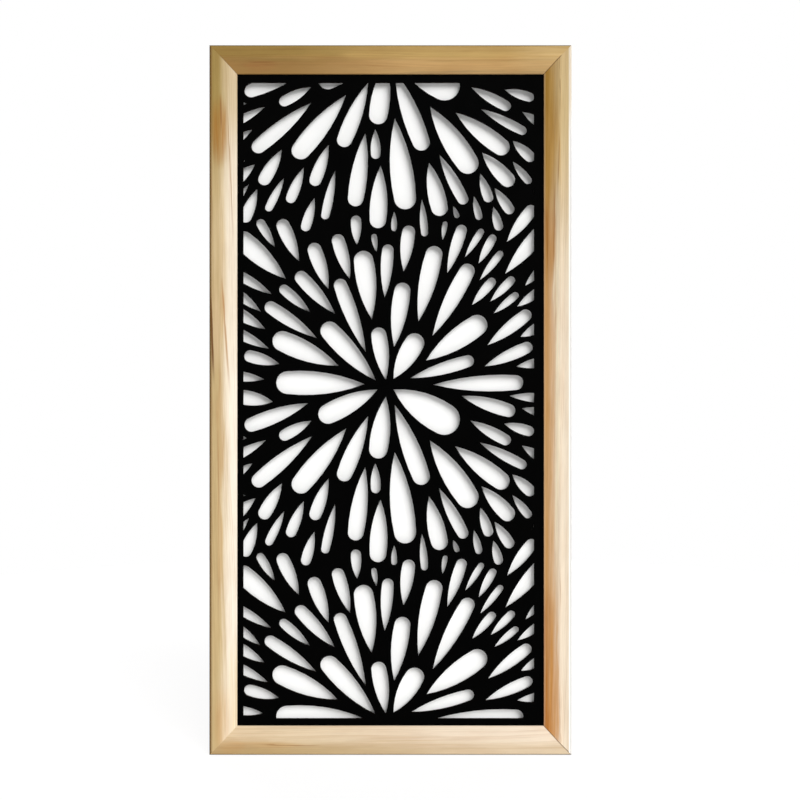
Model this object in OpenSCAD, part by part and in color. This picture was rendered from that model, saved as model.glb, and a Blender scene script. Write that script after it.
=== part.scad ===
// Decorative wall panel: a mitred pine frame holds a black fretwork sheet over a white
// backing board. Spacer strips keep the two apart, turn buttons hold them in from behind,
// and two D-rings hang the panel from hooks in the wall.
// Millimetres, +Z up, front towards -Y. The origin lies in the plane of the wall, midway
// between the two hooks.

/* [Panel] */
// Overall width of the frame
panel_w = 610; // [450:5:800]
// Overall height of the frame
panel_h = 1195; // [900:5:1500]

/* [Moulding] */
// Width of the moulding, seen from the front
moulding_w = 45; // [40:1:65]
// Width of the flat band along the outer edge
band_w = 16; // [8:1:20]
// Radius of the crown between the flat band and the inner slope
crown_r = 17; // [8:1:28]
// How far the sight edge lies behind the front
sight_drop = 13; // [8:0.5:18]
// Thickness of the lip that covers the edge of the fretwork
lip_t = 3; // [2:0.5:6]
// Width of the rabbet behind the lip
rabbet_w = 10; // [7:0.5:13]
// Radius of the outer front arris
arris_r = 2.5; // [1:0.5:4]
// Radius of the sight edge
sight_r = 1.5; // [0.5:0.5:2]
// Width of the eased outer back edge
back_ease = 1; // [0.5:0.25:2]

/* [Sheets] */
// Thickness of the fretwork sheet
fret_t = 5; // [3:0.5:9]
// Thickness of the spacer strips behind the fretwork
spacer_t = 6; // [3:0.5:12]
// Thickness of the backing board
backing_t = 3; // [2:0.5:6]
// Play between the sheets and the sides of the rabbet
sheet_play = 1; // [0.5:0.25:2]

/* [Fretwork] */
// Plain border inside the sight edge, at the left
border_left = 9.5; // [6:0.5:25]
// Plain border inside the sight edge, at the right
border_right = 16; // [6:0.5:25]
// Plain border inside the sight edge, at the top
border_top = 13; // [6:0.5:25]
// Plain border inside the sight edge, at the bottom
border_bottom = 11; // [6:0.5:25]
// Height from one burst of petals to the next
burst_pitch = 568; // [420:1:700]
// Place of the bursts across, from the middle of the panel
burst_x = -6; // [-60:1:60]
// Height of the middle burst above the middle of the panel
burst_z = 23; // [-150:1:150]
// Share of a petal's length at which it is widest, from its tip
petal_swell = 0.7; // [0.65:0.01:0.78]

/* [Turn buttons] */
// Thickness of a turn button
button_t = 1.5; // [1:0.25:2.5]
// Reach of a turn button from its pivot to its tip
button_reach = 21; // [18:0.5:23]
// Radius of its end round the pivot
button_r = 6; // [5:0.25:7]
// Radius of its tip
button_tip_r = 4.5; // [3:0.25:5]
// Distance of the pivot from the edge of the rabbet
button_inset = 9; // [8:0.5:11]
// Diameter of the screw that it turns on
button_screw_d = 4; // [3:0.5:5]
// Depth of that screw in the wood
button_screw_l = 16; // [10:1:18]
// Height that a turn button keeps clear of the wood and of its screw's head
button_lift = 0.2; // [0.1:0.1:0.5]
// Distance from the end of a strap to the turn button below it
button_strap_gap = 30; // [10:5:100]
// Radial play of a turn button on its screw
button_play = 0.08; // [0.02:0.02:0.1]

/* [Hangers] */
// Drop of the ring hinges below the top of the frame
hanger_drop = 100; // [60:5:200]
// Width of the strap plate
strap_w = 16; // [12:1:18]
// Thickness of the strap plate
strap_t = 1.2; // [1:0.1:2]
// Diameter of the ring's wire
ring_wire_d = 3; // [2:0.25:4]
// Play between the strap's knuckle and the ring's bow, at each side
ring_side_play = 2.6; // [1:0.2:4]
// Gap between the hanging ring and its strap plate
ring_lift = 0.3; // [0.2:0.1:1]
// Radial play of the ring in the strap's knuckle
ring_play = 0.08; // [0.02:0.02:0.1]
// Diameter of the strap screws
strap_screw_d = 3.5; // [3:0.5:4.5]
// Depth of the strap screws in the wood
strap_screw_l = 14; // [10:1:18]
// Gap between the hanging ring and the head of the first strap screw
strap_screw_gap = 4; // [2:0.5:8]
// Distance between the two screws of a strap
strap_screw_pitch = 13; // [10:0.5:24]

/* [Bumpers] */
// Diameter of a wall bumper
bumper_d = 12; // [8:1:20]
// Distance of a bumper's middle from the outer edges of the frame
bumper_inset = 15; // [12:1:20]
// Room left between the hangers and the wall
wall_play = 0.5; // [0.25:0.25:3]

/* [Corner nails] */
// Depth of the wedge-shaped corner nails
nail_l = 10; // [6:1:14]
// Thickness of their steel
nail_t = 0.8; // [0.5:0.1:1.2]
// Width of a corner nail across the mitre
nail_w = 9; // [6:0.5:12]
// How far its two wings reach back from its edge
nail_leg = 4.5; // [3:0.5:6]
// Distance of the outer nails from the outer edges of the frame
nail_inset = 11; // [9:0.5:13]
// Distance from the outer nails to the inner ones, along the frame
nail_pitch = 12; // [8:0.5:14]

/* [Hidden] */

// Colours
pine = [0.86, 0.74, 0.56];
black_paint = [0.03, 0.03, 0.03];
white_board = [0.93, 0.93, 0.92];
strip_wood = [0.8, 0.7, 0.52];
zinc = [0.72, 0.72, 0.7];
steel = [0.6, 0.6, 0.62];
rubber = [0.35, 0.33, 0.3];

// Depths, measured from the back of the frame towards the front
rabbet_d = fret_t + spacer_t + backing_t;
moulding_d = sight_drop + lip_t + rabbet_d;

// Opening inside the sight edges
opening_w = panel_w - 2 * moulding_w;
opening_h = panel_h - 2 * moulding_w;

// Sheets, which reach into the rabbet
sheet_overlap = rabbet_w - sheet_play;
sheet_w = opening_w + 2 * sheet_overlap;
sheet_h = opening_h + 2 * sheet_overlap;

// Front of the moulding: where the crown turns into the slope
slope_run = moulding_w - band_w;
slope_a = atan2(slope_run, crown_r - sight_drop)
    - acos(crown_r / norm([slope_run, crown_r - sight_drop]));
sight_round_v = sight_drop + sight_r * (1 - sin(slope_a)) / cos(slope_a);
crown_steps = 10;
arris_steps = 6;

// Ring, strap and the room that they need behind the frame. The bow is a touch thinner
// than the bar, so that it meets the bar in a clean edge.
wire_r = ring_wire_d / 2;
bow_wire_r = wire_r - 0.1;
ring_r = strap_w / 2 + ring_side_play + bow_wire_r;
ring_y = strap_t + ring_lift + wire_r;
knuckle_r = wire_r + ring_play + strap_t;
bumper_t = ring_y + knuckle_r + wall_play;
bar_half = ring_r + bow_wire_r;
ring_z = panel_h / 2 - hanger_drop;
strap_x = panel_w / 2 - (moulding_w - rabbet_w) / 2;

// Screws, which sit in pilot holes with a little air round them. The sizes of a head
// and its cross recess are shares of the screw's diameter.
pilot_gap = 0.05;
head_share = 1.9;
head_h_share = 0.55;
recess_l_share = 1.2;
recess_w_share = 0.25;
recess_d_share = 0.35;
screw_tip = 3;
strap_screw_drop = ring_r + bow_wire_r + strap_screw_gap + head_share * strap_screw_d / 2;
strap_l = strap_screw_drop + strap_screw_pitch + strap_w / 2;

// Turn buttons: [across, up, turn] of each pivot, with the arm towards the sheets
pivot_x = opening_w / 2 + rabbet_w + button_inset;
pivot_z = opening_h / 2 + rabbet_w + button_inset;
button_top_z = ring_z - strap_l - button_reach - button_strap_gap;
button_seats = [
    [-pivot_x, button_top_z, 0], [-pivot_x, 0, 0], [-pivot_x, -button_top_z, 0],
    [pivot_x, button_top_z, 180], [pivot_x, 0, 180], [pivot_x, -button_top_z, 180],
    [0, pivot_z, -90], [0, -pivot_z, 90]
];
tip_middle = button_reach - button_tip_r;
tangent_a = acos((button_r - button_tip_r) / tip_middle);
button_steps = 8;

// Corner nails stand on the mitre, at these distances from the outer edges
nail_places = [nail_inset, nail_inset + nail_pitch];

// Window that holds the petals, as its corner and size from the middle of the panel
window_x = border_left - opening_w / 2;
window_z = border_bottom - opening_h / 2;
window_w = opening_w - border_left - border_right;
window_h = opening_h - border_top - border_bottom;
burst_reach = ceil(panel_h / 2 / burst_pitch) + 1;

// Petals of one burst, set by eye: [tip across, tip up, end across, end up, width].
// They are drawn for a pitch of drawn_pitch and scaled to the pitch in use.
drawn_pitch = 566;
petals = [
    // Round the middle
    [-2, 11, -16, 100, 27],
    [11, 13, 55, 88, 34],
    [39, 14, 147, 46, 22],
    [78, 3, 231, 7, 28],
    [11, -5, 120, -69, 54],
    [13, -31, 63, -166, 32],
    [-2, -17, -17, -122, 33],
    [-32, -50, -77, -160, 28],
    [-16, -5, -115, -54, 35],
    [-38, 4, -188, 7, 41],
    [-19, 10, -108, 106, 34],
    // Upwards
    [-36, 58, -83, 182, 25],
    [-26, 114, -42, 230, 35],
    [12, 67, 28, 176, 29],
    [53, 110, 83, 238, 31],
    [77, 86, 142, 207, 28],
    [66, 44, 167, 114, 37],
    [-4, 151, 2, 241, 21],
    [28, 195, 38, 273, 23],
    [-18, 228, -23, 259, 10],
    [-51, 240, -53, 290, 18],
    [-63, 182, -86, 258, 23],
    [-99, 165, -127, 243, 25],
    [94, 248, 99, 280, 9],
    [102, 192, 129, 274, 20],
    [132, 219, 162, 267, 12],
    [155, 208, 182, 257, 15],
    [157, 180, 195, 229, 13],
    [144, 138, 182, 183, 16],
    [175, 144, 215, 185, 15],
    [181, 124, 222, 158, 13],
    [200, 191, 270, 273, 26],
    [203, 245, 250, 306, 21],
    [234, 171, 266, 205, 14],
    // Towards the left
    [-88, 123, -153, 193, 24],
    [-130, 126, -181, 170, 18],
    [-149, 212, -181, 283, 24],
    [-190, 236, -218, 283, 16],
    [-171, 182, -255, 258, 34],
    [-195, 156, -259, 194, 17],
    [-214, 127, -260, 163, 16],
    [-119, 82, -206, 140, 23],
    [-206, 97, -266, 133, 20],
    [-82, 35, -193, 84, 36],
    [-200, 64, -267, 98, 18],
    [-182, 38, -242, 54, 21],
    [-208, 12, -268, 20, 17],
    [-193, -26, -258, -16, 25],
    [-133, -28, -241, -69, 26],
    [-128, -58, -182, -87, 20],
    [-238, -87, -262, -88, 12],
    [-205, -91, -268, -125, 16],
    [-127, -84, -227, -167, 27],
    [-228, -130, -264, -155, 14],
    [-240, -184, -262, -188, 10],
    // Towards the right
    [220, 135, 266, 167, 16],
    [170, 70, 243, 127, 22],
    [226, 84, 276, 110, 20],
    [165, 34, 246, 70, 21],
    [219, 34, 279, 44, 18],
    [207, -16, 280, -21, 17],
    [126, -16, 217, -44, 24],
    [228, -37, 286, -50, 18],
    [198, -63, 249, -78, 18],
    [141, -58, 209, -95, 20],
    [157, -95, 236, -136, 18],
    [228, -100, 278, -132, 19],
    [115, -101, 205, -169, 32],
    [212, -149, 249, -183, 20],
    // Downwards
    [-69, -71, -156, -178, 35],
    [-223, -189, -272, -230, 22],
    [-234, -223, -264, -261, 13],
    [-220, -231, -243, -288, 21],
    [-178, -164, -213, -224, 23],
    [-174, -211, -203, -269, 15],
    [-141, -194, -166, -255, 19],
    [-99, -156, -125, -226, 22],
    [-88, -199, -106, -283, 16],
    [-123, -246, -140, -303, 18],
    [-37, -136, -55, -261, 29],
    [-20, -130, -19, -181, 17],
    [-11, -191, -16, -298, 30],
    [13, -111, 33, -266, 40],
    [12, -269, 12, -303, 10],
    [59, -249, 64, -312, 13],
    [71, -186, 92, -277, 30],
    [72, -91, 147, -203, 40],
    [88, -172, 133, -257, 21],
    [112, -260, 120, -281, 9],
    [147, -243, 157, -284, 13],
    [158, -205, 174, -254, 18],
    [180, -261, 191, -302, 16],
    [182, -229, 212, -273, 19],
    [160, -169, 213, -225, 27],
    [212, -184, 243, -222, 15],
    [252, -224, 252, -242, 8]
];
petal_scale = burst_pitch / drawn_pitch;
flank_steps = 6;
head_steps = 12;

// Points along an arc, from angle a0 to a1
function arc(middle, r, a0, a1, steps) = [
    for (i = [0 : steps])
        let (a = a0 + (a1 - a0) * i / steps)
            middle + r * [cos(a), sin(a)]
];

// Outline of one petal: two long flanks that meet in the tip and run into a round head.
// Each flank is an arc that is widest at the swell and meets the head without a corner.
function petal_outline(p) =
    let (
        tip = petal_scale * [p[0], p[1]],
        end = petal_scale * [p[2], p[3]],
        half = petal_scale * p[4] / 2,
        length = norm(end - tip),
        wide = petal_swell * length,
        rest = length - wide,
        flank_r = (wide * wide + half * half) / (2 * half),
        side = flank_r - half,
        head_r = (flank_r * flank_r - side * side - rest * rest) / (2 * (flank_r - rest)),
        head_y = length - head_r,
        meet_a = atan2(head_y - wide, side),
        tip_a = atan2(wide, side),
        right = arc([-side, wide], flank_r, -tip_a, meet_a, flank_steps),
        head = arc([0, head_y], head_r, meet_a, 180 - meet_a, head_steps),
        left = arc([side, wide], flank_r, 180 - meet_a, 180 + tip_a, flank_steps),
        along = (end - tip) / length,
        across = [along[1], -along[0]],
        round_trip = concat(
            right,
            [for (i = [1 : head_steps]) head[i]],
            [for (i = [1 : flank_steps - 1]) left[i]]
        )
    )
    [for (q = round_trip) tip + q[0] * across + q[1] * along];

// True where a petal of a burst at this height touches the window
function petal_shows(p, z) =
    let (
        low = z + petal_scale * (min(p[1], p[3]) - p[4]),
        high = z + petal_scale * (max(p[1], p[3]) + p[4])
    )
    high > window_z && low < window_z + window_h;

// Moves a piece from the middle of the frame's back to its place off the wall: with the
// rings turned up, the hooks bear on their bows at height 0
module hung() {
    translate([0, -bumper_t, bow_wire_r - ring_r - ring_z]) children();
}

// Upright sheet or plate from an outline in X and Z: its back is at back_y
module upright(thickness, back_y = 0) {
    translate([0, back_y, 0]) rotate([90, 0, 0]) linear_extrude(thickness) children();
}

// Section of the moulding: across from the outer edge, and back from the front
module moulding_section() {
    rabbet_u = moulding_w - rabbet_w;
    seat_v = sight_drop + lip_t;
    polygon(concat(
        arc([arris_r, arris_r], arris_r, 180, 270, arris_steps),
        arc([band_w, crown_r], crown_r, 270, 270 + slope_a, crown_steps),
        arc([moulding_w - sight_r, sight_round_v], sight_r, 270 + slope_a, 360, arris_steps),
        [
            [moulding_w, seat_v], [rabbet_u, seat_v], [rabbet_u, moulding_d],
            [back_ease, moulding_d], [0, moulding_d - back_ease]
        ]
    ));
}

// One side of the frame, mitred at both ends and turned about Y into its place
module frame_member(length, reach, turn) {
    over = 1;
    end_z = length / 2;
    rotate([0, turn, 0]) translate([-reach, -moulding_d, 0]) intersection() {
        linear_extrude(length, center = true) moulding_section();
        upright(moulding_d + 2 * over, moulding_d + over) polygon([
            [-over, end_z + over], [moulding_w + over, end_z - moulding_w - over],
            [moulding_w + over, moulding_w + over - end_z], [-over, -end_z - over]
        ]);
    }
}

// Chevron of a corner nail, pointing inwards along the mitre
module nail_outline() {
    polygon([
        [0, 0], [-nail_leg, nail_w / 2], [-nail_leg - nail_t, nail_w / 2],
        [-nail_t, 0], [-nail_leg - nail_t, -nail_w / 2], [-nail_leg, -nail_w / 2]
    ]);
}

// All the corner nails, driven in flush with the back
module all_nails() {
    for (sx = [-1, 1], sz = [-1, 1], place = nail_places)
        translate([sx * (panel_w / 2 - place), 0, sz * (panel_h / 2 - place)])
            mirror([sx > 0 ? 1 : 0, 0, 0]) mirror([0, 0, sz > 0 ? 1 : 0])
                rotate([0, -45, 0]) upright(nail_l) nail_outline();
}

// Hole or shank along Y from the back of the frame into the wood
module bore_y(r, depth) {
    rotate([90, 0, 0]) cylinder(r = r, h = depth, $fn = 48);
}

// Places children at the screws of both straps
module at_strap_screws() {
    for (side = [-1, 1], i = [0, 1])
        translate([side * strap_x, 0, ring_z - strap_screw_drop - i * strap_screw_pitch])
            children();
}

// Takes the nail slots and the pilot holes out of a side of the frame
module drilled() {
    difference() {
        children();
        all_nails();
        for (seat = button_seats)
            translate([seat[0], 0, seat[1]])
                bore_y(button_screw_d / 2 + pilot_gap, button_screw_l + pilot_gap);
        at_strap_screws() bore_y(strap_screw_d / 2 + pilot_gap, strap_screw_l + pilot_gap);
    }
}

// Pan-headed wood screw along Y: its head stands on y = 0 and its point is in the wood
module wood_screw(d, length, under_head) {
    r = d / 2;
    head_r = head_share * r;
    head_h = head_h_share * d;
    crown = head_h / 2;
    difference() {
        rotate([-90, 0, 0]) rotate_extrude($fn = 48) polygon(concat(
            [[0, -length], [r, screw_tip - length], [r, under_head], [head_r, under_head]],
            arc([head_r - crown, under_head + head_h - crown], crown, 0, 90, 4),
            [[0, under_head + head_h]]
        ));
        for (turn = [0, 90])
            translate([0, under_head + head_h, 0]) rotate([0, turn, 0])
                cube([recess_l_share, 2 * recess_d_share, recess_w_share] * d, center = true);
    }
}

// Frame
module top_rail() {
    color(pine) hung() drilled() frame_member(panel_w, panel_h / 2, 90);
}

module bottom_rail() {
    color(pine) hung() drilled() frame_member(panel_w, panel_h / 2, 270);
}

module left_stile() {
    color(pine) hung() drilled() frame_member(panel_h, panel_w / 2, 0);
}

module right_stile() {
    color(pine) hung() drilled() frame_member(panel_h, panel_w / 2, 180);
}

module corner_nails() {
    color(steel) hung() all_nails();
}

// Fretwork: a sheet with the petals of each burst cut through inside the window
module fret_panel() {
    color(black_paint) hung() upright(fret_t, -backing_t - spacer_t) difference() {
        square([sheet_w, sheet_h], center = true);
        intersection() {
            translate([window_x, window_z]) square([window_w, window_h]);
            union()
                for (k = [-burst_reach : burst_reach], p = petals)
                    let (z = burst_z + k * burst_pitch)
                        if (petal_shows(p, z))
                            translate([burst_x, z]) polygon(petal_outline(p));
        }
    }
}

// Spacer strips: the top and bottom ones run through, the side ones fit between them
module level_spacer(side) {
    color(strip_wood) hung() upright(spacer_t, -backing_t)
        translate([0, side * (sheet_h - sheet_overlap) / 2])
            square([sheet_w, sheet_overlap], center = true);
}

module side_spacer(side) {
    color(strip_wood) hung() upright(spacer_t, -backing_t)
        translate([side * (sheet_w - sheet_overlap) / 2, 0])
            square([sheet_overlap, sheet_h - 2 * sheet_overlap], center = true);
}

module backing_board() {
    color(white_board) hung() upright(backing_t) square([sheet_w, sheet_h], center = true);
}

// Turn button: a flat plate that turns on its screw and reaches over the backing board
module turn_button(i) {
    seat = button_seats[i];
    color(zinc) hung() translate([seat[0], button_lift, seat[1]]) rotate([0, -seat[2], 0])
        upright(button_t, button_t) difference() {
            polygon(concat(
                arc([tip_middle, 0], button_tip_r, -tangent_a, tangent_a, button_steps),
                arc([0, 0], button_r, tangent_a, 360 - tangent_a, button_steps)
            ));
            circle(r = button_screw_d / 2 + button_play, $fn = 48);
        }
}

module turn_button_screws() {
    color(steel) hung() for (seat = button_seats)
        translate([seat[0], 0, seat[1]])
            wood_screw(button_screw_d, button_screw_l, button_t + 2 * button_lift);
}

// Strap plate with a knuckle round the straight bar of its ring
module strap(side) {
    half = strap_w / 2;
    color(zinc) hung() translate([side * strap_x, 0, ring_z]) difference() {
        union() {
            upright(strap_t, strap_t) polygon(concat(
                [[half, 0]],
                arc([0, half - strap_l], half, 0, -180, 12),
                [[-half, 0]]
            ));
            translate([-half, ring_y, 0]) rotate([0, 90, 0])
                cylinder(r = knuckle_r, h = strap_w, $fn = 48);
        }
        translate([-half - 1, ring_y, 0]) rotate([0, 90, 0])
            cylinder(r = wire_r + ring_play, h = strap_w + 2, $fn = 48);
        for (i = [0, 1])
            translate([0, strap_t + 1, -strap_screw_drop - i * strap_screw_pitch])
                bore_y(strap_screw_d / 2 + pilot_gap, strap_t + 2);
    }
}

// D-ring: a straight bar in the knuckle and a half-round bow that hangs from it
module ring(side) {
    color(steel) hung() translate([side * strap_x, ring_y, ring_z]) union() {
        translate([-bar_half, 0, 0]) rotate([0, 90, 0])
            cylinder(r = wire_r, h = 2 * bar_half, $fn = 48);
        rotate([90, 0, 0]) rotate_extrude(angle = -180, $fn = 96)
            translate([ring_r, 0]) circle(r = bow_wire_r, $fn = 32);
    }
}

module strap_screws() {
    color(steel) hung() at_strap_screws() wood_screw(strap_screw_d, strap_screw_l, strap_t);
}

// Wall bumper: a low rubber stud on the back of a bottom corner
module bumper(side) {
    r = bumper_d / 2;
    edge = 1;
    color(rubber) hung()
        translate([side * (panel_w / 2 - bumper_inset), 0, bumper_inset - panel_h / 2])
            rotate([-90, 0, 0]) rotate_extrude($fn = 48) polygon([
                [0, 0], [r, 0], [r - edge / 2, bumper_t - edge], [r - edge, bumper_t],
                [0, bumper_t]
            ]);
}

top_rail();
bottom_rail();
left_stile();
right_stile();
corner_nails();
fret_panel();
level_spacer(1);  // top_spacer
level_spacer(-1);  // bottom_spacer
side_spacer(-1);  // left_spacer
side_spacer(1);  // right_spacer
backing_board();
turn_button(0);  // turn_button_left_top
turn_button(1);  // turn_button_left_middle
turn_button(2);  // turn_button_left_bottom
turn_button(3);  // turn_button_right_top
turn_button(4);  // turn_button_right_middle
turn_button(5);  // turn_button_right_bottom
turn_button(6);  // turn_button_top
turn_button(7);  // turn_button_bottom
turn_button_screws();
strap(-1);  // left_strap
strap(1);  // right_strap
ring(-1);  // left_ring
ring(1);  // right_ring
strap_screws();
bumper(-1);  // left_bumper
bumper(1);  // right_bumper
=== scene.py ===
import math

import bpy
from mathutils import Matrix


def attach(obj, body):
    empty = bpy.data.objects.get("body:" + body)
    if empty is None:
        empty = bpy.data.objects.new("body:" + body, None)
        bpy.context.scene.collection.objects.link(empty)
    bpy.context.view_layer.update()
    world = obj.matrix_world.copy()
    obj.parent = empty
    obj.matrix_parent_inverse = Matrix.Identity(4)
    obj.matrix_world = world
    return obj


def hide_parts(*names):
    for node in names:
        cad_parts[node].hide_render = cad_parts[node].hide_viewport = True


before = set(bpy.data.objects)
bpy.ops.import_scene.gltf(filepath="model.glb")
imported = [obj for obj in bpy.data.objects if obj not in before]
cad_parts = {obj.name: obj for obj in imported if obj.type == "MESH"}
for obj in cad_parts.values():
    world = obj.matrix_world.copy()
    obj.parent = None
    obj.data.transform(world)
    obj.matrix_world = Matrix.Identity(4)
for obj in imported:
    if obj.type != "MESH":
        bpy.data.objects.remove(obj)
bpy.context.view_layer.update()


# The place that the panel is seen from: straight in front, a little to the right of its
# middle, close enough that the inner slopes of the two stiles show unlike widths.
panel_middle_z = -0.5081
eye = bpy.data.cameras.new("camera in front")
eye.sensor_width = 36.0
eye.lens = 46.8
camera = bpy.data.objects.new("camera in front", eye)
camera.location = (0.016, -1.786, panel_middle_z)
camera.rotation_euler = (math.radians(90), 0, 0)
bpy.context.scene.collection.objects.link(camera)
bpy.context.scene.camera = camera


# The frame: four lengths of pine moulding, mitred, glued and nailed at the corners. Each is
# its own stick, with its own tone and run of grain, under one clear satin varnish; its tones
# also carry painted light and shade. Its sharp edges are sanded off by a fifth of a
# millimetre, so a fine groove marks each mitre.
panel_half_width = 0.305
panel_half_height = 0.5975
moulding_width = 0.045
sanded_edge = 0.0002

# Depths between which the rounded front edge gives way to the outer side, and between which
# the varnish gives way to bare wood at the back.
side_begins = (-0.0345, -0.0338)
varnish_ends = (-0.0075, -0.0066)


def put(tree, kind, inputs=None, **settings):
    """Adds one node and sets its inputs, each to a value or to another node's output."""
    node = tree.nodes.new(kind)
    for name, value in settings.items():
        setattr(node, name, value)
    for name, value in (inputs or {}).items():
        if isinstance(value, bpy.types.NodeSocket):
            tree.links.new(value, node.inputs[name])
        else:
            node.inputs[name].default_value = value
    return node


def sums(tree, operation, first, second=0.0, third=0.0):
    """One step of arithmetic on values of the surface."""
    numbers = {0: first, 1: second, 2: third}
    return put(tree, "ShaderNodeMath", numbers, operation=operation).outputs[0]


def span(tree, value, low, high, start=0.0, end=1.0):
    """Goes smoothly from start to end while the value goes from low to high."""
    ends = {"Value": value, "From Min": low, "From Max": high, "To Min": start, "To Max": end}
    return put(tree, "ShaderNodeMapRange", ends, interpolation_type="SMOOTHSTEP").outputs[0]


def between(tree, share, low, high):
    """Goes evenly from low to high while the share goes from 0 to 1."""
    return sums(tree, "MULTIPLY_ADD", share, high - low, low)


def mapped(tree, place, **change):
    """A place turned by Rotation or stretched by Scale."""
    return put(tree, "ShaderNodeMapping", {"Vector": place, **change}).outputs[0]


def noise(tree, place, scale, detail=2.0, roughness=0.5):
    """Soft random mottling, its scale given along each direction."""
    stretched = mapped(tree, place, Scale=scale)
    look = {"Vector": stretched, "Scale": 1.0, "Detail": detail, "Roughness": roughness}
    return put(tree, "ShaderNodeTexNoise", look).outputs["Fac"]


def mixed(tree, share, first, second, way="MIX"):
    """Blends two colours."""
    colours = {0: share, 6: first, 7: second}
    return put(tree, "ShaderNodeMix", colours, data_type="RGBA", blend_type=way).outputs[2]


def lightened(tree, colour, factor):
    """Makes a colour lighter or darker."""
    parts = {0: colour, "Scale": factor}
    return put(tree, "ShaderNodeVectorMath", parts, operation="SCALE").outputs[0]


def tint(red, green, blue):
    """A colour as it looks on a screen, each part from 0 to 255."""
    return (*[(part / 255) ** 2.2 for part in (red, green, blue)], 1.0)


def new_finish(name, **values):
    """A material with its shader, and the place on the object that its patterns follow."""
    material = bpy.data.materials.new(name)
    material.use_nodes = True
    tree = material.node_tree
    tree.nodes.clear()
    values = {label.replace("_", " "): value for label, value in values.items()}
    shader = put(tree, "ShaderNodeBsdfPrincipled", values)
    put(tree, "ShaderNodeOutputMaterial", {"Surface": shader.outputs["BSDF"]})
    place = put(tree, "ShaderNodeTexCoord").outputs["Object"]
    return material, tree, shader, place


def lengthways(tree, place, lying):
    """The place on a piece, turned if the piece is lying, so that its grain runs along it."""
    return mapped(tree, place, Rotation=(0, math.radians(90) if lying else 0, 0))


def relief(tree, shader, height, distance):
    """Lets a height pattern raise the surface by up to distance, in metres."""
    bump = put(tree, "ShaderNodeBump", {"Height": height, "Distance": distance, "Strength": 1.0})
    tree.links.new(bump.outputs["Normal"], shader.inputs["Normal"])


def new_group(name, inputs, outputs):
    """An empty node group with these sockets: its tree and what it is given."""
    group = bpy.data.node_groups.new(name, "ShaderNodeTree")
    for in_out, sockets in (("INPUT", inputs), ("OUTPUT", outputs)):
        for label, kind in sockets.items():
            socket_type = "NodeSocket" + kind
            group.interface.new_socket(name=label, in_out=in_out, socket_type=socket_type)
    return group, put(group, "NodeGroupInput").outputs


def places(tree, operation, first, second=(0, 0, 0)):
    """One step of arithmetic on places."""
    return put(tree, "ShaderNodeVectorMath", {0: first, 1: second}, operation=operation).outputs


# Year rings round a pith outside the stick, which wander along it, with short flecks and
# fine fibres. Each stick turns the pattern a little, so that the grain runs out in slants.
grain, given = new_group(
    "pine grain",
    {
        "Place": "Vector", "Pith": "Vector", "Ring width": "Float",
        "Wood": "Color", "Late wood": "Color",
    },
    {"Color": "Color", "Late": "Float", "Height": "Float"},
)
place = given["Place"]
waver = sums(grain, "MULTIPLY_ADD", noise(grain, place, (14, 14, 1.6)), 0.02, -0.01)
from_pith = places(grain, "SUBTRACT", place, given["Pith"])["Vector"]
from_pith = places(grain, "MULTIPLY", from_pith, (1, 1, 0))["Vector"]
radius = places(grain, "LENGTH", from_pith)["Value"]
years = sums(grain, "DIVIDE", sums(grain, "ADD", radius, waver), given["Ring width"])
along_years = {"W": years, "Scale": 0.45, "Detail": 1.0}
uneven = put(grain, "ShaderNodeTexNoise", along_years, noise_dimensions="1D").outputs["Fac"]
season = sums(grain, "FRACT", sums(grain, "MULTIPLY_ADD", uneven, 2.2, years))
autumn, winter = span(grain, season, 0.25, 0.86), span(grain, season, 0.9, 1.0, 1.0, 0.0)
late = sums(grain, "MULTIPLY", autumn, winter)
fibre = noise(grain, place, (900, 900, 12))
fleck = noise(grain, place, (420, 420, 45), 3.0, 0.6)
streak = span(grain, noise(grain, place, (120, 120, 3.5), 3.0, 0.6), 0.35, 0.7)
cloud = span(grain, noise(grain, place, (45, 45, 9), 3.0, 0.55), 0.4, 0.72)
ringed = sums(grain, "MULTIPLY", late, sums(grain, "MULTIPLY_ADD", streak, 0.24, 0.05))
clouded = sums(grain, "MULTIPLY", cloud, 0.16)
wood = mixed(grain, ringed, given["Wood"], given["Late wood"], "MULTIPLY")
wood = mixed(grain, clouded, wood, given["Late wood"], "MULTIPLY")
thread = sums(grain, "MULTIPLY_ADD", fibre, 0.16, 0.87)
thread = sums(grain, "MULTIPLY_ADD", fleck, 0.12, thread)
wood = lightened(grain, wood, thread)
height = sums(grain, "ADD", fibre, late)
put(grain, "NodeGroupOutput", {"Color": wood, "Late": late, "Height": height})


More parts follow.
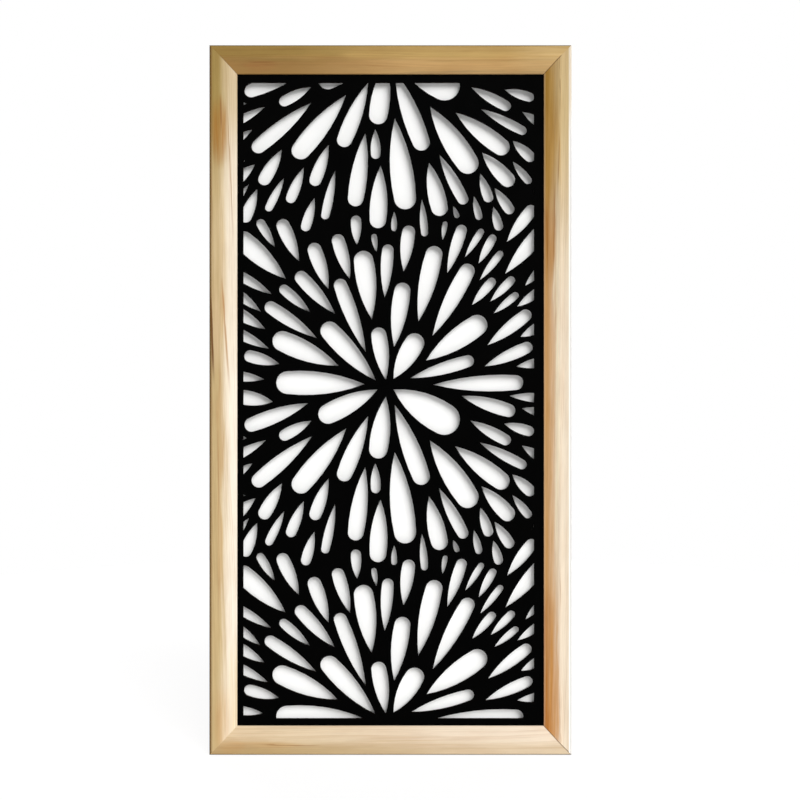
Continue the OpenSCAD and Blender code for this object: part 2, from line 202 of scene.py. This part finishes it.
def pine_stick(
    name, lying, pith, slant, outer, inner, changes, turn, crown, rim, mitres, patches, veins
):
    """The varnished pine of one side of the frame, lying or standing.

    Places along the stick go from 0 at its left or bottom end to 1, and across it from 0 at
    the outer edge to 1 at the sight edge. pith is the middle of the year rings, and slant how
    far the grain runs out, in degrees. outer and inner give the tone at both ends of the
    stick, partly the wood's own and partly painted light and shade, changes the places
    between which one end's tone gives way to the other's, and turn the places across it
    between which outer gives way to inner. crown is how much lighter the rounded crown is
    painted at both ends, a painted highlight, and then how much the sight edge is lightened,
    also a painted highlight. rim lists painted lines of shade or highlight along the outer
    edge, each with its tone, its strength, its strength near the top or right end, where it
    starts to fade and where it stops, in metres. mitres has, for each end, how dark the
    mitre's line is and how far across it starts. A patch has its place along and across,
    half length, half width, strength and tone. A vein is a fine line: where it starts and
    ends, along and across, its half width, strength and tone.
    """
    material, tree, shader, place = new_finish(name, Specular_IOR_Level=0.15)
    x, y, z = put(tree, "ShaderNodeSeparateXYZ", {0: place}).outputs
    z = sums(tree, "SUBTRACT", z, panel_middle_z)
    from_side = sums(tree, "SUBTRACT", panel_half_width, sums(tree, "ABSOLUTE", x))
    from_end = sums(tree, "SUBTRACT", panel_half_height, sums(tree, "ABSOLUTE", z))
    if lying:
        from_edge = from_end
        along = sums(tree, "MULTIPLY_ADD", x, 0.5 / panel_half_width, 0.5)
    else:
        from_edge = from_side
        along = sums(tree, "MULTIPLY_ADD", z, 0.5 / panel_half_height, 0.5)
    inward = sums(tree, "DIVIDE", from_edge, moulding_width)
    slanted = lengthways(tree, place, lying)
    slanted = mapped(tree, slanted, Rotation=[math.radians(angle) for angle in slant])

    # The tones blend along and across the stick, and a ragged line divides outer from inner.
    # The tones are partly the wood's own and partly painted light and shade: darker towards
    # the top and the left, darkest on the top rail, with the left stile's inner slope painted
    # pale as if lit.
    ragged = sums(tree, "SUBTRACT", noise(tree, slanted, (150, 150, 8), 3.0, 0.6), 0.5)
    across = sums(tree, "MULTIPLY_ADD", ragged, 0.35, inward)
    lengthwise = span(tree, along, *changes)
    tones = [mixed(tree, lengthwise, tint(*low), tint(*high)) for low, high in (outer, inner)]
    wood = mixed(tree, span(tree, across, *turn), *tones)

    # Patches fade towards their ends and sides, and are broken up by the grain.
    streaky = span(tree, noise(tree, slanted, (260, 260, 7)), 0.3, 0.7, 0.45, 1.0)
    for middle, middle_across, half_length, half_width, strength, tone in patches:
        far = sums(tree, "DIVIDE", sums(tree, "SUBTRACT", along, middle), half_length)
        aside = sums(tree, "DIVIDE", sums(tree, "SUBTRACT", across, middle_across), half_width)
        spread = sums(tree, "MULTIPLY_ADD", far, far, sums(tree, "MULTIPLY", aside, aside))
        spot = sums(tree, "MULTIPLY", span(tree, spread, 0.0, 1.0, strength, 0.0), streaky)
        wood = mixed(tree, spot, wood, tint(*tone))

    # Veins run nearly straight from start to stop, and fade in and out.
    steady = sums(tree, "MULTIPLY_ADD", ragged, 0.1, inward)
    for start, start_across, stop, stop_across, half_width, strength, tone in veins:
        gone = sums(tree, "DIVIDE", sums(tree, "SUBTRACT", along, start), stop - start)
        course = between(tree, gone, start_across, stop_across)
        aside = sums(tree, "ABSOLUTE", sums(tree, "SUBTRACT", steady, course))
        spot = span(tree, aside, half_width * 0.3, half_width, strength, 0.0)
        spot = sums(tree, "MULTIPLY", spot, span(tree, gone, 0.0, 0.3))
        spot = sums(tree, "MULTIPLY", spot, span(tree, gone, 0.6, 1.0, 1.0, 0.0))
        wood = mixed(tree, spot, wood, tint(*tone))

    # The crown is painted lighter, a painted highlight, and so is the last of the slope, at the
    # sight edge.
    low_crown_highlight, high_crown_highlight, sight_edge_highlight = crown
    glow = between(tree, lengthwise, low_crown_highlight, high_crown_highlight)
    glow = sums(tree, "MULTIPLY", glow, span(tree, across, 0.2, 0.45))
    glow = sums(tree, "MULTIPLY", glow, span(tree, across, 0.66, 0.9, 1.0, 0.0))
    wood = lightened(tree, wood, sums(tree, "ADD", glow, 1.0))
    painted_sight_edge_highlight = span(tree, inward, 0.93, 0.97, 0.0, sight_edge_highlight)
    wood = mixed(tree, painted_sight_edge_highlight, wood, (0.1, 0.12, 0.12, 1.0), "ADD")

    # The outer sides are painted paler, as plain pine in place of a lamp to lift them and
    # without the painted shade of the front, and the back is bare.
    beside = span(tree, from_edge, 0.0003, 0.0007, 0.7, 0.0)
    beside = sums(tree, "MULTIPLY", beside, span(tree, y, *side_begins))
    wood = mixed(tree, beside, wood, tint(230, 202, 156))
    bare = span(tree, y, *varnish_ends)
    wood = mixed(tree, sums(tree, "MULTIPLY", bare, 0.85), wood, tint(222, 192, 146))
    figure = {
        "Place": slanted, "Pith": pith, "Ring width": 0.0032,
        "Wood": wood, "Late wood": tint(198, 162, 118),
    }
    colour, late, height = put(tree, "ShaderNodeGroup", figure, node_tree=grain).outputs

    # The mitre's line is where the side and the end are equally far.
    (low_line, low_start), (high_line, high_start) = mitres
    end = span(tree, along, 0.45, 0.55)
    line = between(tree, end, low_line, high_line)
    past_start = sums(tree, "SUBTRACT", inward, between(tree, end, low_start, high_start))
    line = sums(tree, "MULTIPLY", line, span(tree, past_start, -0.05, 0.05))
    from_mitre = sums(tree, "ABSOLUTE", sums(tree, "SUBTRACT", from_side, from_end))
    line = sums(tree, "MULTIPLY", line, span(tree, from_mitre, 0.0004, 0.0014, 1.0, 0.0))
    colour = mixed(tree, line, colour, tint(92, 60, 28))

    # The lines of the rim are painted shade along the outer edge, and on the right stile a
    # painted highlight with a hairline of painted shade; they are on the front alone.
    in_front = span(tree, y, *side_begins, 1.0, 0.0)
    near_top = span(tree, along, 0.86, 0.93)
    for tone, strength, top_strength, start, stop in rim:
        strength = between(tree, near_top, strength, top_strength)
        strength = sums(tree, "MULTIPLY", strength, span(tree, from_edge, start, stop, 1.0, 0.0))
        colour = mixed(tree, sums(tree, "MULTIPLY", in_front, strength), colour, tint(*tone))
    tree.links.new(colour, shader.inputs["Base Color"])
    rough = sums(tree, "MULTIPLY_ADD", late, 0.06, 0.42)
    rough = sums(tree, "MULTIPLY_ADD", bare, 0.25, rough)
    tree.links.new(rough, shader.inputs["Roughness"])
    relief(tree, shader, height, 0.00003)
    return material


def softened(node, body, width, material):
    """A copy of a CAD part with its sharp edges taken off, which stands for that part."""
    bpy.ops.object.select_all(action="DESELECT")
    piece = bpy.data.objects.new(node + ".finished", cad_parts[node].data.copy())
    bpy.context.scene.collection.objects.link(piece)
    piece.select_set(True)
    bpy.context.view_layer.objects.active = piece
    bpy.ops.mesh.customdata_custom_splitnormals_clear()
    bpy.ops.object.mode_set(mode="EDIT")
    bpy.ops.mesh.select_all(action="SELECT")
    bpy.ops.mesh.remove_doubles(threshold=0.000002)
    bpy.ops.object.mode_set(mode="OBJECT")
    edge = piece.modifiers.new("taken off", "BEVEL")
    edge.width = width
    edge.segments = 2
    edge.limit_method = "ANGLE"
    edge.angle_limit = math.radians(30)
    edge.use_clamp_overlap = False
    bpy.ops.object.modifier_apply(modifier=edge.name)
    bpy.ops.object.shade_smooth_by_angle(angle=math.radians(35))
    flat = piece.modifiers.new("flat faces stay flat", "WEIGHTED_NORMAL")
    flat.keep_sharp = True
    bpy.ops.object.modifier_apply(modifier=flat.name)
    piece.data.materials.clear()
    piece.data.materials.append(material)
    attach(piece, body)
    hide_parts(node)


# How dark the line of each mitre is, and how far across the moulding it starts.
top_left, top_right = (0.35, 0.38), (0.7, 0.38)
bottom_left, bottom_right = (0.0, 0.38), (0.75, 0.0)

# From the photograph's view: the rails from left to right, the stiles from the bottom up.
sticks = {
    "top_rail": dict(
        lying=True, pith=(0.13, 0.03, 0), slant=(0.4, 0.5, 0),
        outer=[(149, 121, 66), (181, 149, 91)], inner=[(166, 128, 75), (205, 165, 109)],
        changes=(0.18, 0.62), turn=(0.3, 0.7), crown=(0.0, 0.1, 0.0),
        # painted shade along the outer edge
        rim=[
            ((112, 92, 52), 0.9, 0.9, 0.0008, 0.003),
            ((48, 38, 20), 0.95, 0.95, 0.0006, 0.0013),
        ],
        mitres=[top_left, top_right],
        patches=[
            (0.14, 0.72, 0.06, 0.25, 0.5, (166, 112, 66)),
            (0.42, 0.35, 0.07, 0.3, 0.45, (196, 160, 98)),
            (0.29, 0.5, 0.05, 0.3, 0.35, (172, 136, 78)),
            (0.98, 0.5, 0.17, 0.8, 0.7, (208, 178, 126)),
            (0.75, 1.0, 0.3, 0.12, 0.6, (150, 124, 88)),
        ],
        veins=[
            (0.1, 0.62, 0.2, 0.6, 0.05, 0.4, (140, 92, 50)),
            (0.4, 0.3, 0.62, 0.36, 0.03, 0.3, (150, 116, 66)),
            (0.55, 0.6, 0.86, 0.52, 0.03, 0.25, (158, 122, 72)),
        ],
    ),
    "bottom_rail": dict(
        lying=True, pith=(-1.17, 0.035, 0), slant=(-0.5, 0.8, 0),
        outer=[(180, 153, 109), (212, 191, 161)], inner=[(213, 191, 158), (228, 211, 189)],
        changes=(0.1, 0.85), turn=(0.15, 0.75), crown=(0.0, 0.0, 0.2),
        # painted shade along the outer edge
        rim=[
            ((92, 74, 48), 0.9, 0.9, 0.0008, 0.0025),
            ((58, 46, 28), 0.9, 0.9, 0.0004, 0.0014),
        ],
        mitres=[bottom_left, bottom_right],
        patches=[
            (0.16, 0.42, 0.12, 0.2, 0.5, (190, 152, 100)),
            (0.06, 0.35, 0.05, 0.3, 0.5, (186, 144, 92)),
            (0.22, 0.38, 0.14, 0.03, 0.5, (160, 124, 80)),
            (0.5, 0.15, 0.2, 0.1, 0.3, (186, 160, 118)),
        ],
        veins=[
            (0.12, 0.4, 0.34, 0.34, 0.03, 0.5, (150, 112, 68)),
            (0.4, 0.5, 0.72, 0.56, 0.03, 0.3, (186, 154, 108)),
        ],
    ),
    "left_stile": dict(
        lying=False, pith=(-0.36, 0.03, 0), slant=(0.8, 0.6, 0),
        outer=[(195, 170, 124), (161, 136, 80)], inner=[(237, 226, 208), (202, 182, 147)],
        changes=(0.78, 0.93), turn=(0.3, 0.85), crown=(0.0, 0.0, 0.0),
        # painted shade along the outer edge
        rim=[
            ((106, 78, 42), 0.95, 0.95, 0.0014, 0.0064),
            ((56, 42, 22), 0.95, 0.8, 0.0006, 0.0022),
        ],
        mitres=[bottom_left, top_left],
        patches=[
            (0.71, 0.32, 0.09, 0.38, 0.6, (214, 192, 152)),
            (0.878, 0.38, 0.058, 0.42, 0.9, (158, 108, 44)),
            (0.7, 0.95, 0.2, 0.5, 0.5, (218, 202, 176)),
            (0.06, 0.95, 0.12, 0.4, 0.7, (226, 204, 162)),
            (0.45, 0.4, 0.12, 0.14, 0.6, (184, 144, 96)),
            (0.6, 0.22, 0.07, 0.25, 0.7, (218, 192, 154)),
            (0.63, 0.46, 0.05, 0.1, 0.5, (190, 150, 98)),
            (0.3, 0.4, 0.12, 0.1, 0.5, (190, 150, 100)),
            (0.04, 0.5, 0.07, 0.4, 0.45, (192, 146, 94)),
        ],
        veins=[
            (0.67, 0.01, 0.51, 0.19, 0.065, 0.95, (104, 66, 32)),
            (0.685, 0.44, 0.5, 0.76, 0.045, 0.7, (168, 118, 66)),
            (0.94, 0.66, 0.7, 0.88, 0.03, 0.6, (164, 124, 84)),
            (0.935, 0.42, 0.87, 0.44, 0.045, 0.6, (132, 84, 36)),
            (0.5, 0.3, 0.28, 0.38, 0.03, 0.4, (172, 130, 82)),
        ],
    ),
    "right_stile": dict(
        lying=False, pith=(0.24, 0.035, 0), slant=(-0.8, -0.7, 0),
        outer=[(226, 210, 187), (199, 174, 127)], inner=[(216, 162, 99), (171, 127, 56)],
        changes=(0.6, 0.92), turn=(0.37, 0.98), crown=(0.16, 0.14, 1.0),
        # a painted highlight along the outer edge, with a hairline of painted shade at its very
        # edge
        rim=[
            ((255, 252, 244), 0.95, 0.45, 0.0038, 0.006),
            ((214, 212, 208), 0.95, 0.0, 0.0024, 0.0034),
        ],
        mitres=[bottom_right, top_right],
        patches=[
            (0.09, 0.95, 0.17, 0.6, 1.0, (190, 118, 50)),
            (0.72, 0.85, 0.07, 0.4, 0.7, (190, 132, 68)),
            (0.95, 0.45, 0.06, 0.025, 0.75, (132, 92, 48)),
            (0.05, 0.46, 0.06, 0.025, 0.5, (160, 116, 70)),
            (0.84, 0.75, 0.09, 0.4, 0.6, (192, 146, 70)),
            (0.93, 0.8, 0.05, 0.3, 0.4, (186, 140, 54)),
            (0.12, 0.66, 0.18, 0.22, 0.6, (208, 156, 92)),
            # a painted highlight along the crown
            (0.54, 0.54, 0.36, 0.12, 0.7, (253, 241, 208)),
        ],
        veins=[
            (0.89, 0.45, 0.78, 0.52, 0.03, 0.55, (146, 100, 52)),
            (0.82, 0.6, 0.67, 0.68, 0.05, 0.6, (160, 104, 48)),
            (0.79, 0.93, 0.67, 0.85, 0.06, 0.5, (160, 102, 42)),
            (0.28, 0.44, 0.19, 0.44, 0.018, 0.5, (168, 128, 98)),
        ],
    ),
}
for node, look in sticks.items():
    pine = pine_stick("pine of the " + node.replace("_", " "), **look)
    softened(node, "frame", sanded_edge, pine)


# Corner nails: zinc-plated steel chevrons, driven in flush across the back of each mitre.
# The plating is a little cloudy, with fine scratches from handling.
plating, given = new_group(
    "zinc plating",
    {"Place": "Vector", "Metal": "Color", "Dull": "Color", "Smooth": "Float", "Rough": "Float"},
    {"Color": "Color", "Roughness": "Float", "Height": "Float"},
)
place = given["Place"]
cloud = span(plating, noise(plating, place, (260, 260, 260), 4.0, 0.6), 0.35, 0.68)
scratch = noise(plating, place, (3000, 3000, 160))
scratched = span(plating, scratch, 0.58, 0.72)
shade = mixed(plating, sums(plating, "MULTIPLY", cloud, 0.6), given["Metal"], given["Dull"])
gloss = sums(plating, "ADD", sums(plating, "MULTIPLY", cloud, given["Rough"]), given["Smooth"])
gloss = sums(plating, "MULTIPLY_ADD", scratched, 0.1, gloss)
put(plating, "NodeGroupOutput", {"Color": shade, "Roughness": gloss, "Height": scratch})


def plated(name, metal, dull, smooth, rough):
    """Zinc-plated steel, from its clean tone to its clouded one."""
    material, tree, shader, place = new_finish(name, Metallic=1.0)
    coat = {
        "Place": place, "Metal": tint(*metal), "Dull": tint(*dull),
        "Smooth": smooth, "Rough": rough,
    }
    colour, roughness, height = put(tree, "ShaderNodeGroup", coat, node_tree=plating).outputs
    tree.links.new(colour, shader.inputs["Base Color"])
    tree.links.new(roughness, shader.inputs["Roughness"])
    relief(tree, shader, height, 0.00001)
    return material


def refinish(node, material):
    """Gives a CAD part that keeps its shape a better material."""
    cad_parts[node].material_slots[0].material = material


bright_steel = plated("zinc-plated steel", (166, 168, 172), (122, 124, 128), 0.26, 0.24)
refinish("corner_nails", bright_steel)


# The fretwork: a sheet of fibreboard, its petals cut through with a laser, then sprayed
# matte black. The cut walls keep the laser's fine ripple, from front to back, and some char.
taken_off = 0.00025
wall_begins = (-0.0201, -0.0199)
wall_ends = (-0.0157, -0.0155)
black, tree, shader, place = new_finish("matte black paint", Specular_IOR_Level=0.02)
depth = put(tree, "ShaderNodeSeparateXYZ", {0: place}).outputs["Y"]
before_back = span(tree, depth, *wall_ends, 1.0, 0.0)
inside = sums(tree, "MULTIPLY", span(tree, depth, *wall_begins), before_back)
mottle = noise(tree, place, (35, 35, 35), 3.0)
paint = mixed(tree, mottle, tint(1, 1, 1), tint(5, 5, 5))
char = mixed(tree, noise(tree, place, (1400, 60, 1400)), tint(14, 11, 9), tint(34, 24, 17))
tree.links.new(mixed(tree, inside, paint, char), shader.inputs["Base Color"])
tree.links.new(sums(tree, "MULTIPLY_ADD", mottle, 0.2, 0.68), shader.inputs["Roughness"])
spray = noise(tree, place, (900, 900, 900))
ripple = noise(tree, place, (2400, 20, 2400), 1.0)
height = sums(tree, "ADD", sums(tree, "MULTIPLY", ripple, inside), spray)
relief(tree, shader, height, 0.00003)
softened("fret_panel", "frame", taken_off, black)


# Spacer strips: bare softwood laths, laid round the edge of the sheet, that keep the board
# clear of it so that the petals cast their shadows.
def lath(name, lying, pith):
    """Bare softwood, with its grain along the lath."""
    material, tree, shader, place = new_finish(name, Roughness=0.75)
    figure = {
        "Place": lengthways(tree, place, lying), "Pith": pith, "Ring width": 0.0028,
        "Wood": tint(222, 196, 150), "Late wood": tint(190, 150, 104),
    }
    colour, _, height = put(tree, "ShaderNodeGroup", figure, node_tree=grain).outputs
    tree.links.new(colour, shader.inputs["Base Color"])
    relief(tree, shader, height, 0.00008)
    return material


level = lath("softwood of the level laths", True, (0.2, 0.06, 0))
upright = lath("softwood of the upright laths", False, (0.1, 0.06, 0))
for side, softwood in {"top": level, "bottom": level, "left": upright, "right": upright}.items():
    refinish(side + "_spacer", softwood)


# The backing board: 3 mm hardboard. Its smooth front is painted white and shows through
# the petals. Its back is bare brown, with the print of the screen that it was pressed on.
paint_ends = (-0.00915, -0.00905)
screen_pitch = 0.0016
board, tree, shader, place = new_finish("white-faced hardboard", Roughness=0.65)
x, y, z = put(tree, "ShaderNodeSeparateXYZ", {0: place}).outputs
bare = span(tree, y, *paint_ends)
faint = noise(tree, place, (60, 60, 60), 3.0)
white = mixed(tree, faint, tint(252, 252, 250), tint(254, 254, 253))
clumps = noise(tree, place, (420, 420, 420), 4.0, 0.65)
cloudy = span(tree, noise(tree, place, (9, 9, 9), 4.0, 0.6), 0.36, 0.66)
brown = mixed(tree, span(tree, clumps, 0.3, 0.7), tint(104, 70, 42), tint(170, 126, 86))
brown = mixed(tree, sums(tree, "MULTIPLY", cloudy, 0.5), brown, tint(112, 76, 48))
wires = [sums(tree, "MULTIPLY", way, 2 * math.pi / screen_pitch) for way in (x, z)]
screen = sums(tree, "ADD", *[sums(tree, "SINE", wire) for wire in wires])
screen = sums(tree, "MULTIPLY", sums(tree, "MULTIPLY_ADD", screen, 0.25, 0.5), bare)
brown = mixed(tree, sums(tree, "MULTIPLY", screen, 0.22), brown, tint(84, 56, 34))
tree.links.new(mixed(tree, bare, white, brown), shader.inputs["Base Color"])
relief(tree, shader, sums(tree, "ADD", screen, sums(tree, "MULTIPLY", clumps, 0.25)), 0.00012)
refinish("backing_board", board)


# Turn buttons: stamped zinc-plated steel plates, each free on its pan-headed screw, that
# reach over the board and hold the sheets in the rabbet.
stamped_edge = 0.0002
dull_zinc = plated("clouded zinc plate", (152, 154, 155), (108, 110, 111), 0.34, 0.25)
for spot in (
    "left_top", "left_middle", "left_bottom",
    "right_top", "right_middle", "right_bottom",
    "top", "bottom",
):
    softened("turn_button_" + spot, "button_" + spot, stamped_edge, dull_zinc)
refinish("turn_button_screws", bright_steel)


# Hangers: a steel D-ring of bent wire in the rolled knuckle of a strap plate, with two
# screws to each strap. The ring hangs down, and is turned up over its hook in the wall.
for side in ("left", "right"):
    softened(side + "_strap", "frame", stamped_edge, dull_zinc)
    refinish(side + "_ring", bright_steel)
refinish("strap_screws", bright_steel)


# Bumpers: grey rubber studs at the bottom corners, which keep the frame level with its
# hangers and off the wall.
rubber, tree, shader, place = new_finish("grey rubber", Roughness=0.8, Specular_IOR_Level=0.3)
dust = span(tree, noise(tree, place, (700, 700, 700), 4.0, 0.7), 0.45, 0.75)
dust = sums(tree, "MULTIPLY", dust, 0.5)
dusty = mixed(tree, dust, tint(84, 82, 78), tint(128, 124, 116))
tree.links.new(dusty, shader.inputs["Base Color"])
relief(tree, shader, noise(tree, place, (1600, 1600, 1600)), 0.00004)
for side in ("left", "right"):
    refinish(side + "_bumper", rubber)


# The studio: a plain pale floor a millimetre under the panel, white all round, and soft
# lamps from the top right, the right and near the camera, with two behind for the back.
floor_radius = 2.2
floor_place = (0, 0, -1.1066)
bpy.ops.object.select_all(action="DESELECT")
bpy.ops.mesh.primitive_circle_add(
    vertices=96, radius=floor_radius, fill_type="NGON", location=floor_place
)
floor = bpy.context.object
floor.name = "floor"
bpy.ops.object.transform_apply(location=True)
pale, tree, shader, place = new_finish(
    "pale floor", Roughness=0.9, Specular_IOR_Level=0.0, Emission_Color=(1, 1, 1, 1)
)
looked_at = put(tree, "ShaderNodeLightPath").outputs["Is Camera Ray"]
floor_tone = mixed(tree, looked_at, tint(236, 236, 236), tint(118, 118, 118))
tree.links.new(floor_tone, shader.inputs["Base Color"])
tree.links.new(sums(tree, "MULTIPLY", looked_at, 0.88), shader.inputs["Emission Strength"])
floor.data.materials.append(pale)

ambient = 0.07
world = bpy.data.worlds.new("white studio")
bpy.context.scene.world = world
world.use_nodes = True
tree = world.node_tree
tree.nodes.clear()
path = put(tree, "ShaderNodeLightPath").outputs
seen = sums(tree, "MAXIMUM", path["Is Glossy Ray"], path["Is Transmission Ray"])
seen = sums(tree, "MAXIMUM", path["Is Camera Ray"], seen)
glow = {"Color": (1, 1, 1, 1), "Strength": between(tree, seen, ambient, 1.0)}
sky = put(tree, "ShaderNodeBackground", glow).outputs[0]
put(tree, "ShaderNodeOutputWorld", {"Surface": sky})


def lamp(name, kind, place, power, **settings):
    """A lamp that faces the middle of the panel and isn't itself seen."""
    light = bpy.data.lights.new(name, kind)
    light.energy = power
    for label, value in settings.items():
        setattr(light, label, value)
    stand = bpy.data.objects.new(name, light)
    stand.location = place
    facing = -stand.location
    facing.z += panel_middle_z
    stand.rotation_euler = facing.to_track_quat("-Z", "Y").to_euler()
    stand.visible_camera = False
    bpy.context.scene.collection.objects.link(stand)


broad = math.radians(42)
lamp("broad light from the top right", "SUN", (2.4, -4.04, 2.442), 2.74, angle=broad)
lamp("fill near the camera", "AREA", (-0.15, -2.6, -0.75), 9.5, size=0.6)
lamp("side light from the right", "AREA", (3.0, -1.6, -0.9), 25, size=2.0)
lamp("lamp behind, left", "AREA", (-1.6, 3.0, 0.6), 66, size=2.4)
lamp("lamp behind, right", "AREA", (2.2, 2.4, 0.0), 36, size=2.0)

bpy.context.scene.view_settings.view_transform = "Standard"
